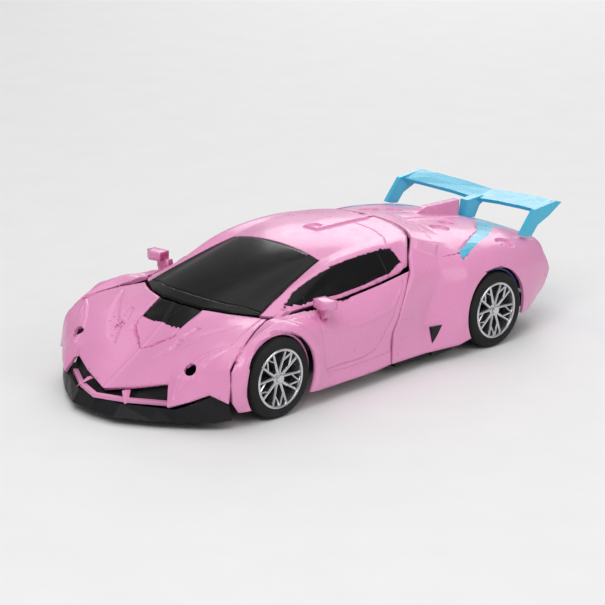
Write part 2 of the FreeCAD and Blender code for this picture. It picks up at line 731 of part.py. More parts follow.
def gear_parts():
    """The final drive: a gear on the rear axle and the motor's pinion on its shaft."""
    keep("drive_gear", toothed("DriveGear", "gear_teeth", "axle_radius", REAR_AXLE))
    pinion = toothed("Pinion", "pinion_teeth", "0.9", MOTOR_Y)
    half_tooth = FreeCAD.Rotation(FreeCAD.Vector(1, 0, 0), 180 / size("pinion_teeth"))
    pinion.Placement = FreeCAD.Placement(FreeCAD.Vector(), half_tooth)
    place(pinion, "0", MOTOR_Y, "tyre_radius")
    shaft = rod("MotorShaft", "x", "-4", MOTOR_Y, "tyre_radius", "1", "14")
    keep("motor_pinion", fuse("MotorPinion", pinion, shaft))
    can = rod("MotorCan", "x", "4.5", MOTOR_Y, "tyre_radius", "7", "20")
    hole = rod("MotorHole", "x", "4", MOTOR_Y, "tyre_radius", "1 + running_gap", "6.3")
    keep("drive_motor", cut("DriveMotor", can, hole))


# ---------------------------------------------------------------- the torso

BOSS = "5"


def torso_plate():
    """A side plate that hangs the torso from the shoulder hinge."""
    plate = slab("TorsoPlate", "YZ_Plane", [
        (FRONT_AXLE, "tyre_radius - 5"), (FRONT_AXLE + " + 25", "tyre_radius - 6"),
        (FRONT_AXLE + " + 106", "22"), (FRONT_AXLE + " + 106", "33"),
        (FRONT_AXLE + " + 28", "tyre_radius + 11"), (FRONT_AXLE, "tyre_radius + 5")],
        "plate_thick", "plate_x")
    boss = rod("ShoulderBoss", "x", "plate_x", FRONT_AXLE, "tyre_radius", BOSS, "plate_thick")
    bore = rod("ShoulderBore", "x", "plate_x - 1", FRONT_AXLE, "tyre_radius",
               "shoulder_pin + running_gap", "plate_thick + 2")
    return cut("TorsoPlateBored", fuse("TorsoPlateSolid", plate, boss), bore)


def hinge_arm():
    """A bent arm from the back plate down, back and up to the main hinge."""
    arm = slab("HingeArm", "YZ_Plane", [
        ("pivot_y - 28", "27"), ("pivot_y - 4", "27"), ("pivot_y + 4.5", "pivot_z - 18"),
        ("pivot_y + 4.5", "pivot_z"), ("pivot_y - 4.5", "pivot_z"),
        ("pivot_y - 4.5", "pivot_z - 13"), ("pivot_y - 8", "33.5"), ("pivot_y - 28", "33.5")],
        "hinge_thick", "hinge_x")
    boss = rod("HipBoss", "x", "hinge_x", "pivot_y", "pivot_z", "4.5", "hinge_thick")
    bore = rod("HipBore", "x", "hinge_x - 1", "pivot_y", "pivot_z",
               "pivot_radius + running_gap", "hinge_thick + 2")
    return cut("HingeArmBored", fuse("HingeArmSolid", arm, boss), bore)


def torso_parts():
    back = box("BackPlate", "-plate_x", FRONT_AXLE + " + 29.5", "27", "2 * plate_x", "83", "2.4")
    plates = both_sides("TorsoPlates", torso_plate())
    arms = both_sides("HingeArms", hinge_arm())
    keep("torso_frame", fuse("TorsoFrame", plates, arms, back))
    chest = box("ChestBlock", "-21", "-chest_front + 4", "13", "42", "33", "14")
    waist = box("WaistBlock", "-12", "-chest_front + 37", "13", "24", "22", "14")
    hip = box("HipBlock", "-18", "-chest_front + 57", "13", "36", "5", "14")
    keep("torso_core", fuse("TorsoCore", chest, waist, hip))
    posts = [rod(f"ShellPost{x}_{y}", "z", str(x), str(y), "29.4", "2.6",
                 "roof_height - 1.9 - 29.4") for x in (-20, 20) for y in (2, 28)]
    keep("shell_posts", cut("ShellPosts", fuse("ShellPostRods", *posts), parts["roof_shell"]))


def armour(name, corners, low, thick, label):
    """A plate of the robot's armour, mirrored about the middle."""
    half = [(str(x), str(y)) for x, y in corners]
    other = [(f"-{x}", str(y)) for x, y in reversed(corners) if x]
    return keep(name, slab(label, "XY_Plane", half + other, str(thick), str(low)))


def armour_parts():
    """The plates on the robot's chest and waist, which face down while it is a car."""
    armour("chest_plate", [(0, -46), (9, -53), (23, -52), (26, -41), (17, -27), (8, -20),
                           (0, -16)], 9, 4, "ChestPlate")
    armour("chest_core", [(0, -44), (8, -50), (7, -37), (0, -24)], 7.4, 1.6, "ChestCore")
    armour("waist_plate", [(0, -15.5), (9, -13), (22, -13), (18, -3), (10, 3), (0, 4)], 10, 3,
           "WaistPlate")
    armour("waist_core", [(0, -11), (6, -11), (5, 4), (0, 12)], 8.2, 1.8, "WaistCore")


LEG_TOP = "(-chest_front + 62)"


def leg_parts():
    """Thighs with bright inserts, and segmented shins."""
    thigh = box("Thigh", "6", LEG_TOP, "13", "12", "28", "13")
    rings = [box(f"ThighRing{row}", "5.4", f"{LEG_TOP} + {4 + 8 * row}", "12.2", "13.2", "3",
                 "13.4") for row in range(3)]
    keep("thighs", both_sides("Thighs", fuse("ThighLeft", thigh, *rings)))
    insert = box("LegInsert", "9", LEG_TOP + " + 3", "10.8", "6", "23", "1.4")
    strip = box("ShinStrip", "20.4", LEG_TOP + " + 31", "14", "1.6", "19", "8")
    keep("leg_inserts", both_sides("LegInserts", fuse("LegInsertLeft", insert, strip)))
    shin = slab("ShinLeft", "XY_Plane", [
        ("6", LEG_TOP + " + 28"), ("17", LEG_TOP + " + 28"), ("20.4", LEG_TOP + " + 34"),
        ("20.4", LEG_TOP + " + 50"), ("18", LEG_TOP + " + 54"), ("7", LEG_TOP + " + 54"),
        ("5", LEG_TOP + " + 46"), ("5", LEG_TOP + " + 36")], "12", "12.6")
    knee = box("Knee", "8", LEG_TOP + " + 29", "11.2", "9", "7", "1.4")
    ankle = box("Ankle", "8", LEG_TOP + " + 46", "11.2", "9", "6", "1.4")
    keep("shins", both_sides("Shins", fuse("ShinSolid", shin, knee, ankle)))


# ---------------------------------------------------------------- the front carriage

ARM_LOW_Y = "(arm_pivot_y - arm_size / 2)"
ARM_LOW_Z = "(tyre_radius - arm_size / 2)"
CHEEK_X = "15.3"
CHEEK_THICK = "3"


def arm_guide():
    """The square tube that the arm slides in, on the left."""
    tube = box("ArmGuide", CHEEK_X, "arm_pivot_y - 5", "tyre_radius - 5",
               "22.4", "10", "10")
    lug = rod("CoverLug", "z", "30", "arm_pivot_y", "tyre_radius + 4", "2.5", "9.5")
    return fuse("ArmGuideSolid", tube, lug)


def carriage_parts():
    """The frame under the front cover: cheeks, shoulder bosses, guides and cross bars."""
    cheek = slab("Cheek", "YZ_Plane", [
        (FRONT_AXLE + " + 6.5", "11"), (FRONT_AXLE + " + 6.5", "26"),
        (FRONT_AXLE + " - 6", "26"), (FRONT_AXLE + " - 30", "20"),
        (FRONT_AXLE + " - 37", "12"), (FRONT_AXLE + " - 37", "5.8"),
        (FRONT_AXLE + " - 25.5", "5.8"), (FRONT_AXLE + " - 20", "11")],
        CHEEK_THICK, CHEEK_X)
    boss = rod("CarriageBoss", "x", CHEEK_X, FRONT_AXLE, "tyre_radius", "4.5",
               "plate_x - 0.3 - " + CHEEK_X)
    side = fuse("CarriageSide", cheek, boss, arm_guide())
    hole = box("ArmHole", "14", "arm_pivot_y - arm_size / 2 - arm_gap",
               "tyre_radius - arm_size / 2 - arm_gap", "26", "arm_size + 2 * arm_gap",
               "arm_size + 2 * arm_gap")
    bore = rod("ShoulderSocket", "x", "20", FRONT_AXLE, "tyre_radius", "shoulder_pin", "10")
    sides = both_sides("CarriageSides", cut("CarriageSideCut", side, hole, bore))
    wide = "2 * " + CHEEK_X + " + 1"
    front = box("FrontBar", "-" + CHEEK_X + " - 0.5", FRONT_AXLE + " - 37", "7", wide, "4", "4")
    rear = box("RearBar", "-" + CHEEK_X + " - 0.5", FRONT_AXLE + " + 4", "11", wide, "2.5", "14")
    guide = box("NeckGuide", "-neck_width / 2 - 2", FRONT_AXLE + " + 4", "11",
                "neck_width + 4", "2.5", "24")
    frame = fuse("CarriageFrameSolid", sides, front, rear, guide)
    keep("carriage_frame", cut("CarriageFrame", frame, parts["front_cover"]))
    pin = rod("ShoulderPin", "x", "20", FRONT_AXLE, "tyre_radius", "shoulder_pin",
              "plate_x + plate_thick + 1.5 - 20")
    keep("shoulder_pins", both_sides("ShoulderPins", pin))


def neck_parts():
    """The sliding neck, with the fork and pin that the head's flap turns on."""
    top = "(flip_z - 3.5)"
    post = box("NeckPlate", "-neck_width / 2", FRONT_AXLE + " + 1", "10", "neck_width",
               "neck_thick", top + " - 10")
    wide = "neck_width / 2 - 4.6"
    ear = box("NeckEar", "4.6", "flip_y - 2.2", "flip_z - 2.6", wide, "4.4", "4.8")
    shelf = box("NeckShelf", "4.6", "flip_y + 0.5", top + " - 3", wide,
                FRONT_AXLE + " + 1 + neck_thick - (flip_y + 0.5)", "3")
    riser = box("NeckRiser", "4.6", "flip_y + 0.5", top + " - 0.5", wide, "1.7", "2")
    pin = rod("FlipPin", "x", "-neck_width / 2", "flip_y", "flip_z", "flip_pin", "neck_width")
    ears = both_sides("NeckEars", fuse("NeckEarLeft", ear, shelf, riser))
    keep("neck_post", fuse("NeckPost", post, ears, pin))


def on_flip(item):
    """Lay a piece that is drawn upright down along the hood, about the flap's hinge."""
    turn = FreeCAD.Rotation(FreeCAD.Vector(1, 0, 0), 90 + size("flip_slope"))
    item.Placement = FreeCAD.Placement(FreeCAD.Vector(), turn)
    place(item, "0", "flip_y", "flip_z")
    return item


def head_parts():
    """The head, drawn upright with its face to -Y, and its bright trim."""
    half = "head_width / 2"
    pieces = [
        box("Face", "-7", "-10", "5", "14", "13", "13"),
        box("Helmet", "-" + half, "-7", "7", "head_width", "12.6", "head_height - 11"),
        box("HelmetTop", "-6", "-7.6", "head_height - 5", "12", "12.6", "2.6"),
        box("Crown", "-4.4", "-6", "head_height - 3", "8.8", "10", "2"),
        box("NeckStub", "-4.2", "-2", "1", "8.4", "5", "7"),
        rod("FlipBarrel", "x", "-4.2", "0", "0", "2.2", "8.4"),
    ]
    skull = cut("Skull", fuse("SkullSolid", *pieces),
                rod("FlipBore", "x", "-6", "0", "0", "flip_pin + running_gap", "12"))
    on_flip(skull)
    keep("robot_head", cut("RobotHead", skull, parts["hood_flap"], parts["cowl_insert"]))
    brow = slab("BrowLeft", "XZ_Plane", [
        ("0", "head_height - 9"), ("7", "head_height - 5.5"), ("6.2", "head_height - 4"),
        ("0", "head_height - 6.4")], "1.2", "-10")
    cheek = box("CheekGuard", "5", "-11.2", "6", "2", "1.2", "6")
    mouth = box("MouthGuard", "0", "-11.2", "6", "4", "1.2", "2.4")
    trim = both_sides("HeadTrim", fuse("HeadTrimLeft", brow, cheek, mouth))
    keep("head_trim", on_flip(trim))


# ---------------------------------------------------------------- the arms

def arm_bar():
    """The square bar with a round knuckle at its outer end, on the left."""
    bar = box("ArmBar", "arm_start", ARM_LOW_Y, ARM_LOW_Z, "arm_pivot_x - arm_start",
              "arm_size", "arm_size")
    knuckle = rod("ArmKnuckle", "z", "arm_pivot_x", "arm_pivot_y", ARM_LOW_Z,
                  "arm_size / 2", "arm_size")
    bore = rod("ArmBore", "z", "arm_pivot_x", "arm_pivot_y", ARM_LOW_Z + " - 1",
               "arm_pin + running_gap", "arm_size + 2")
    return cut("ArmBarLeft", fuse("ArmBarSolid", bar, knuckle), bore)


def ear(name, low):
    """One ear of the fork that holds the arm's knuckle."""
    half = "arm_size / 2"
    plate = box(name, "arm_pivot_x - " + half, "arm_pivot_y", low, "10", "10", "2.3")
    tip = rod(name + "Tip", "z", "arm_pivot_x", "arm_pivot_y", low, half, "2.3")
    return fuse(name + "Solid", plate, tip)


def wheel_liner():
    """The left drum around the front wheel, with its axle stub and the arm's fork."""
    inner = "arm_pivot_x - 4.2"
    reach = "(tyre_radius + arch_gap + liner_wall)"
    drum = rod("LinerDrum", "x", inner, FRONT_AXLE, "tyre_radius", reach,
               "body_width / 2 - 4 - (" + inner + ")")
    low = ear("LowerEar", "tyre_radius - arm_size / 2 - 2.6")
    high = ear("UpperEar", "tyre_radius + arm_size / 2 + 0.3")
    pin = rod("ArmPin", "z", "arm_pivot_x", "arm_pivot_y",
              "tyre_radius - arm_size / 2 - 2.6", "arm_pin", "arm_size + 5.2")
    room = rod("WheelRoom", "x", inner + " + 1.6", FRONT_AXLE, "tyre_radius",
               "tyre_radius + arch_gap", "40")
    below = box("LinerOpening", "0", FRONT_AXLE + " - 30", "-10", "80", "60", "19")
    relief = box("CoverRelief", inner + " - 1", FRONT_AXLE + " - 14", "tyre_radius + 16", "13.6",
                 "28", "10")
    shell = cut("LinerShell", fuse("LinerSolid", drum, low, high), room, below, relief)
    boss = rod("HubBoss", "x", "plate_x + plate_thick + 2.2", FRONT_AXLE, "tyre_radius", "4",
               "arm_pivot_x - 1.6 - plate_x - plate_thick - 2.2")
    stub = rod("AxleStub", "x", "arm_pivot_x - 3", FRONT_AXLE, "tyre_radius", "axle_radius",
               "body_width / 2 - 2.5 - (arm_pivot_x - 3)")
    whole = fuse("LinerWhole", shell, boss, stub, pin)
    return cut("WheelLinerLeft", whole, parts["door_panel_left"])


def arm_parts():
    bar = keep("arm_bar_left", arm_bar())
    keep("arm_bar_right", mirrored("ArmBarRight", bar))
    liner = keep("wheel_liner_left", wheel_liner())
    keep("wheel_liner_right", mirrored("WheelLinerRight", liner))


# ---------------------------------------------------------------- the rear body's inside

def side_frame():
    """A side wall of the rear body, with the axle's bore."""
    wall = slab("SideWall", "YZ_Plane", [
        ("floor_front", "floor_z"), ("112", "floor_z"), ("112", "20"), ("78", "36"),
        ("54", "38"), ("30", "24"), ("floor_front", "10")], "frame_thick", "frame_x")
    axle = rod("AxleBore", "x", "frame_x - 1", REAR_AXLE, "tyre_radius", BORE,
               "frame_thick + 2")
    return cut("SideFrameLeft", wall, axle)


BRACKET_X = "(hinge_x + hinge_thick + 0.8)"


def hinge_bracket():
    """A post from the floor, behind the legs, up to the main hinge."""
    post = slab("HingePost", "YZ_Plane", [
        ("64.2", "floor_z + floor_thick"), ("67.8", "floor_z + floor_thick"),
        ("67.8", "pivot_z - 16"), ("pivot_y + 4.5", "pivot_z"), ("pivot_y - 4.5", "pivot_z"),
        ("pivot_y - 1", "pivot_z - 4.5"), ("62", "pivot_z - 18"), ("64.2", "28")],
        "hinge_thick", BRACKET_X)
    boss = rod("BracketBoss", "x", BRACKET_X, "pivot_y", "pivot_z", "4.5", "hinge_thick")
    bore = rod("BracketBore", "x", BRACKET_X + " - 1", "pivot_y", "pivot_z", "pivot_radius",
               "hinge_thick + 2")
    return cut("HingeBracket", fuse("HingeBracketSolid", post, boss), bore)


def tub_parts():
    """The floor with its side shelves, skids and battery hatch, and the side walls."""
    floor = box("Floor", "-frame_x", "floor_front", "floor_z", "2 * frame_x", "112",
                "floor_thick")
    rear = box("RearWall", "-frame_x", "110", "floor_z", "2 * frame_x", "2", "15.5")
    skid = rod("Skid", "z", "25", "8", "1.5", "3", "4")
    shelf = box("Shelf", "frame_x + frame_thick", "4", "floor_z", "17.5", "40", "floor_thick")
    upstand = box("Upstand", "frame_x + frame_thick + 16", "28", "floor_z", "3", "14", "14")
    sides = both_sides("TubSides", fuse("TubSide", skid, shelf, upstand))
    hatch = box("HatchHole", "-24.3", "91.7", "floor_z - 1", "48.6", "17.6", "4")
    slot = box("SwitchSlot", "-2.5", "43.5", "floor_z - 1", "5", "9", "4")
    screws = screw_set()
    tub = cut("TubCut", fuse("TubSolid", floor, rear, sides), hatch, slot, screws)
    quarters = [parts["rear_quarter_left"], parts["rear_quarter_right"]]
    keep("chassis_tub", cut("ChassisTub", tub, *quarters))
    frames = fuse("SideFrameSet", side_frame(), hinge_bracket())
    keep("side_frames", both_sides("SideFrames", frames))
    keep("chassis_screws", screws)
    keep("battery_cover", box("BatteryCover", "-24", "92", "floor_z", "48", "17", "2"))
    keep("battery_pack", box("BatteryPack", "-22", "92.6", "floor_z + 2.4", "44", "15.6", "14"))


def screw_set():
    """Four screws from below, each a head and a shank."""
    screws = []
    for x in (-30, 30):
        for y in (18, 100):
            head = rod(f"ScrewHead{x}_{y}", "z", str(x), str(y), "floor_z - 0.8", "2.2", "0.8")
            shank = rod(f"ScrewShank{x}_{y}", "z", str(x), str(y), "floor_z - 0.1", "1",
                        "floor_thick + 0.1")
            screws += [head, shank]
    return fuse("ChassisScrews", *screws)


def inner_parts():
    block = box("EngineBlock", "4", "64.6", "floor_z + floor_thick", "12", "3", "5.5")
    cylinders = [rod(f"EngineCylinder{x}", "z", str(x), "66.1", "11", "1.2", "3")
                 for x in (7, 13)]
    keep("engine_block", both_sides("EngineBlocks", fuse("EngineLeft", block, *cylinders)))
    foot = box("FootBlock", "10", "8", "floor_z + floor_thick", "18.2", "26", "3.4")
    wall = box("FootWall", "22.8", "6", "floor_z + floor_thick", "5.4", "28", "17")
    dots = [rod(f"FootDot{y}", "z", "25.5", str(y), "23", "1.2", "1.3")
            for y in (10, 16, 22, 28)]
    keep("foot_blocks", both_sides("FootBlocks", fuse("FootBlockLeft", foot, wall, *dots)))
    pin = rod("MainPin", "x", "hinge_x - 0.6", "pivot_y", "pivot_z", "pivot_radius",
              BRACKET_X + " + hinge_thick - hinge_x + 1.2")
    keep("main_pins", both_sides("MainPins", pin))
    keep("circuit_board", fuse("CircuitBoard",
                               box("Board", "-20", "92", "24", "40", "17", "1.2"),
                               box("Chip", "-6", "97", "25.2", "9", "7", "1.4"),
                               box("Crystal", "8", "96", "25.2", "4", "8", "2")))
    keep("lift_gearbox", box("LiftGearbox", "-30", MOTOR_Y + " - 6", "floor_z + 4", "24", "13",
                             "17"))
    keep("diffuser", cut("Diffuser", box("DiffuserBlock", "-40", "112.2", "7", "80", "5.4", "7"),
                         parts["tail_panel"]))
    keep("power_switch", box("PowerSwitch", "-2.1", "44", "floor_z - 1.1", "4.2", "5", "5"))
    keep("arch_liners", rear_liners())


def rear_liners():
    """The half drums over the rear wheels."""
    inner = "frame_x + frame_thick + 1.5"
    drum = rod("RearDrum", "x", inner, REAR_AXLE, "tyre_radius",
               "tyre_radius + arch_gap + liner_wall", "body_width / 2 - 4 - (" + inner + ")")
    room = rod("RearWheelRoom", "x", inner + " + 1.6", REAR_AXLE, "tyre_radius",
               "tyre_radius + arch_gap", "40")
    below = box("RearLinerOpening", "0", REAR_AXLE + " - 30", "-10", "80", "60", "19")
    hub = rod("RearHubHole", "x", inner + " - 1", REAR_AXLE, "tyre_radius", "4", "5")
    quarter = parts["rear_quarter_left"]
    liner = cut("RearLiner", drum, room, below, hub)
    return both_sides("ArchLiners", cut("RearLinerTrimmed", liner, quarter))


wheel_parts()
gear_parts()
torso_parts()
armour_parts()
leg_parts()
carriage_parts()
neck_parts()
head_parts()
arm_parts()
tub_parts()
inner_parts()


# ---------------------------------------------------------------- writing the files

def check(item):
    """Stop on an object that failed to build."""
    if "Invalid" in item.State or "Error" in item.State:
        raise RuntimeError(f"{item.Name} did not build: {item.State}")


def check_part(name, item):
    shape = item.Shape
    if shape.isNull() or not shape.isValid() or shape.Volume <= 0:
        raise RuntimeError(f"{name} has no sound shape")


doc.recompute()
for entry in doc.Objects:
    check(entry)
for name, item in parts.items():
    check_part(name, item)
os.makedirs("parts", exist_ok=True)
for name, item in parts.items():
    item.Shape.exportStep(f"parts/{name}.step")
print(len(parts), "sub-parts written")
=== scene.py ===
import math

import bmesh
import bpy
import numpy as np
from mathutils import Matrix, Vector
from mathutils.kdtree import KDTree
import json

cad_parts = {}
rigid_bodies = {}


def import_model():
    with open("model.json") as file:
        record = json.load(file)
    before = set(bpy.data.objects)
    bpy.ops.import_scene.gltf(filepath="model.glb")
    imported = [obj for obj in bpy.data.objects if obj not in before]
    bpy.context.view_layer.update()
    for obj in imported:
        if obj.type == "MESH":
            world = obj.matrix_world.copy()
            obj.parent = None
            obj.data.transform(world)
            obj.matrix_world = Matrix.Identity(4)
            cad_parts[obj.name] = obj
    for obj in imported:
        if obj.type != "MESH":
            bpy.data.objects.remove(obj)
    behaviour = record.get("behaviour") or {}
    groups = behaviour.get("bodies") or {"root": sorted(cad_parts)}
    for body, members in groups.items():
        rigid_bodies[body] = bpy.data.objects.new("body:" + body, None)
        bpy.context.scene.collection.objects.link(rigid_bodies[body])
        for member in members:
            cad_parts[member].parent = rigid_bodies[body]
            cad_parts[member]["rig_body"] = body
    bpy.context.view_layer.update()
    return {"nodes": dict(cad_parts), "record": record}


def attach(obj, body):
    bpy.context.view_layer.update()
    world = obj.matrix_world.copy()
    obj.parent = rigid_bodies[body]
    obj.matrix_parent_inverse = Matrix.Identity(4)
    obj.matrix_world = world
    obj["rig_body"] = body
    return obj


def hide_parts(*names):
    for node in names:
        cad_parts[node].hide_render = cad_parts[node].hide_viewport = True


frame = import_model()
MM = 0.001

# ---------------------------------------------------------------- materials


def links_of(material):
    return material.node_tree.nodes, material.node_tree.links


def add_noise(nodes, links, scale, detail=3, stretch=(1, 1, 1)):
    """Noise in the object's own coordinates; scale is in features per metre."""
    where = nodes.new("ShaderNodeTexCoord")
    mapping = nodes.new("ShaderNodeMapping")
    mapping.inputs["Scale"].default_value = stretch
    noise = nodes.new("ShaderNodeTexNoise")
    noise.inputs["Scale"].default_value = scale
    noise.inputs["Detail"].default_value = detail
    links.new(where.outputs["Object"], mapping.inputs["Vector"])
    links.new(mapping.outputs["Vector"], noise.inputs["Vector"])
    return noise


def ramp(nodes, links, source, low, high):
    """Map a 0..1 value onto the range low..high."""
    scale = nodes.new("ShaderNodeMapRange")
    scale.inputs["From Min"].default_value = 0.3
    scale.inputs["From Max"].default_value = 0.7
    scale.inputs["To Min"].default_value = low
    scale.inputs["To Max"].default_value = high
    links.new(source, scale.inputs["Value"])
    return scale.outputs["Result"]


def finish_of(name, colour, shade, rough, metal=0.0, coat=0.0, grain=(900, 0.02),
              patch=35, stretch=(1, 1, 1), specular=0.5):
    """A surface with patchy colour and gloss and a fine moulded or brushed grain."""
    material = bpy.data.materials.new(name)
    material.use_nodes = True
    nodes, links = links_of(material)
    shader = nodes["Principled BSDF"]
    shader.inputs["Metallic"].default_value = metal
    shader.inputs["Coat Weight"].default_value = coat
    shader.inputs["Coat Roughness"].default_value = 0.08
    shader.inputs["Specular IOR Level"].default_value = specular
    wide = add_noise(nodes, links, patch, 4)
    mix = nodes.new("ShaderNodeMix")
    mix.data_type = "RGBA"
    mix.inputs["A"].default_value = (*colour, 1)
    mix.inputs["B"].default_value = (*shade, 1)
    links.new(ramp(nodes, links, wide.outputs["Fac"], 0, 1), mix.inputs["Factor"])
    links.new(mix.outputs["Result"], shader.inputs["Base Color"])
    fine = add_noise(nodes, links, grain[0], 2, stretch)
    smear = add_noise(nodes, links, patch * 6, 5, stretch)
    links.new(ramp(nodes, links, smear.outputs["Fac"], rough[0], rough[1]),
              shader.inputs["Roughness"])
    bump = nodes.new("ShaderNodeBump")
    bump.inputs["Strength"].default_value = grain[1] * 10
    bump.inputs["Distance"].default_value = 0.00005
    links.new(fine.outputs["Fac"], bump.inputs["Height"])
    links.new(bump.outputs["Normal"], shader.inputs["Normal"])
    return material


PINK = (0.80, 0.305, 0.545)
MATERIALS = {
    "body_pink": finish_of("BodyPink", PINK, (0.785, 0.293, 0.532), (0.26, 0.36), coat=0.2,
                           grain=(1400, 0.02)),
    # inner_pink: the body pink made darker and redder for the shells' inner faces, painted shade of
    # the hollow insides
    "inner_pink": finish_of("InnerPinkPaintedShade", (0.66, 0.12, 0.30), (0.58, 0.08, 0.24), (0.38, 0.5),
                            grain=(700, 0.06)),
    "seam": finish_of("SeamPink", (0.32, 0.06, 0.16), (0.25, 0.04, 0.12), (0.45, 0.6)),
    "magenta": finish_of("Magenta", (0.60, 0.10, 0.45), (0.54, 0.08, 0.40), (0.26, 0.4),
                         coat=0.2, grain=(1200, 0.03)),
    "window_black": finish_of("WindowBlack", (0.006, 0.006, 0.007), (0.009, 0.009, 0.01),
                              (0.16, 0.24), grain=(300, 0.008), specular=0.14),
    "trim_black": finish_of("TrimBlack", (0.011, 0.011, 0.013), (0.018, 0.018, 0.02),
                            (0.3, 0.46), grain=(1600, 0.12), specular=0.16),
    "sky_blue": finish_of("SkyBlue", (0.06, 0.50, 0.72), (0.05, 0.46, 0.68), (0.24, 0.36),
                          coat=0.2),
    # deep_blue: the blue plastic's own colour darkened to the shade inside the rear wheel arches,
    # partly real blue and partly painted shade
    "deep_blue": finish_of("DeepBlueWithPaintedShade", (0.012, 0.05, 0.22), (0.01, 0.04, 0.17), (0.35, 0.5)),
    "silver_paint": finish_of("SilverPaint", (0.50, 0.51, 0.53), (0.42, 0.43, 0.45),
                              (0.24, 0.4), metal=0.75, grain=(2600, 0.1)),
    "gold_paint": finish_of("GoldPaint", (0.72, 0.42, 0.20), (0.60, 0.33, 0.14), (0.22, 0.38),
                            metal=0.85, grain=(2600, 0.08)),
    "tyre": finish_of("TyreRubber", (0.012, 0.012, 0.013), (0.02, 0.02, 0.02), (0.55, 0.75),
                      grain=(2200, 0.25), specular=0.2),
    "rim_silver": finish_of("RimSilver", (0.68, 0.68, 0.70), (0.58, 0.58, 0.60), (0.14, 0.26),
                            metal=0.95, grain=(1800, 0.03)),
    "steel": finish_of("BrushedSteel", (0.50, 0.50, 0.51), (0.42, 0.42, 0.44), (0.22, 0.4),
                       metal=1, grain=(900, 0.1), stretch=(0.05, 1, 1)),
    "gear_white": finish_of("GearWhite", (0.74, 0.72, 0.66), (0.68, 0.66, 0.60), (0.3, 0.44)),
    "board_green": finish_of("BoardGreen", (0.02, 0.15, 0.06), (0.03, 0.22, 0.08), (0.3, 0.5),
                             patch=260, grain=(500, 0.15)),
    "battery_wrap": finish_of("BatteryWrap", (0.05, 0.12, 0.38), (0.04, 0.1, 0.33),
                              (0.15, 0.3), grain=(60, 0.2)),
}

# ---------------------------------------------------------------- mesh helpers


def make_object(name, mesh, materials, body):
    """Link a mesh as a piece that rides on a body."""
    piece = bpy.data.objects.new(name, mesh)
    bpy.context.scene.collection.objects.link(piece)
    for key in materials:
        mesh.materials.append(MATERIALS[key])
    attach(piece, body)
    return piece


def crisp(piece, width=0.3, angle=35, segments=2):
    """Rounded edges, and smooth shading between them."""
    for face in piece.data.polygons:
        face.use_smooth = True
    bevel = piece.modifiers.new("edges", "BEVEL")
    bevel.width = width * MM
    bevel.segments = segments
    bevel.limit_method = "ANGLE"
    bevel.angle_limit = math.radians(angle)
    bevel.harden_normals = True
    bevel.use_clamp_overlap = True
    return piece


def mesh_of(name, points, faces):
    mesh = bpy.data.meshes.new(name)
    mesh.from_pydata([Vector(point) * MM for point in points], [], faces)
    build = bmesh.new()
    build.from_mesh(mesh)
    bmesh.ops.recalc_face_normals(build, faces=build.faces)
    build.to_mesh(mesh)
    build.free()
    return mesh


def smooth_line(points, breaks, steps):
    """Points along a smooth curve through the given ones, straight-ended at breaks."""
    points = np.asarray(points, float)
    count = len(points)
    length = np.maximum(np.linalg.norm(np.diff(points, axis=0), axis=-1), 1e-6)
    slope = np.diff(points, axis=0) / length[:, None]
    ahead = np.vstack([slope, slope[-1:]])
    behind = np.vstack([slope[:1], slope])
    for i in range(1, count - 1):
        if i not in breaks:
            share = length[i - 1] / (length[i - 1] + length[i])
            both = slope[i - 1] * (1 - share) + slope[i] * share
            ahead[i] = both
            behind[i] = both
    out = []
    for i in range(count - 1):
        t = np.linspace(0, 1, steps, endpoint=False)[:, None]
        a, b = points[i], points[i + 1]
        m, n = ahead[i] * length[i], behind[i + 1] * length[i]
        out.append((2 * t**3 - 3 * t**2 + 1) * a + (t**3 - 2 * t**2 + t) * m
                   + (3 * t**2 - 2 * t**3) * b + (t**3 - t**2) * n)
    return np.vstack(out + [points[-1:]])


class Surface:
    """A smooth styling surface through rows of points, in millimetres."""

    def __init__(self, rows, column_breaks=(), row_breaks=(), both_sides=True, steps=16):
        if both_sides:
            middle = len(rows[0]) - 1
            rows = [[(-x, y, z) for x, y, z in reversed(row[1:])] + list(row) for row in rows]
            column_breaks = [middle + k for k in column_breaks]
            column_breaks += [2 * middle - k for k in column_breaks]
        across = [smooth_line(row, column_breaks, steps) for row in rows]
        grid = np.array([smooth_line(column, row_breaks, steps)
                         for column in np.transpose(np.array(across), (1, 0, 2))])
        along = np.gradient(grid, axis=0)
        down = np.gradient(grid, axis=1)
        normal = np.cross(along, down)
        normal /= np.maximum(np.linalg.norm(normal, axis=-1, keepdims=True), 1e-9)
        middle_of_car = np.array([0, 0, 30.5])
        if ((grid - middle_of_car) * normal).sum() < 0:
            normal = -normal
        self.points = grid.reshape(-1, 3)
        self.normals = normal.reshape(-1, 3)
        self.tree = KDTree(len(self.points))
        for i, point in enumerate(self.points):
            self.tree.insert(point, i)
        self.tree.balance()

    def near(self, point):
        """The surface point and normal near a point."""
        found = self.tree.find_n(point, 4)
        weight = np.array([1 / (d + 0.02) for _, _, d in found])
        weight /= weight.sum()
        index = [i for _, i, _ in found]
        normal = weight @ self.normals[index]
        return weight @ self.points[index], normal / np.linalg.norm(normal)


def to_segments(p, line):
    """Distance from 2-D points to a polyline."""
    best = np.full(len(p), 1e9)
    for a, b in zip(line[:-1], line[1:]):
        a, b = np.array(a, float), np.array(b, float)
        d = b - a
        t = np.clip(((p - a) @ d) / max(d @ d, 1e-9), 0, 1)
        best = np.minimum(best, np.linalg.norm(p - (a + t[:, None] * d), axis=1))
    return best


def inside(p, outline):
    """Which 2-D points are in a closed outline."""
    result = np.zeros(len(p), bool)
    for (x1, y1), (x2, y2) in zip(outline, outline[1:] + outline[:1]):
        crosses = (y1 > p[:, 1]) != (y2 > p[:, 1])
        with np.errstate(divide="ignore", invalid="ignore"):
            at = (x2 - x1) * (p[:, 1] - y1) / (y2 - y1) + x1
        result ^= crosses & (p[:, 0] < at)
    return result


def step(t):
    t = np.clip(t, 0, 1)
    return t * t * (3 - 2 * t)


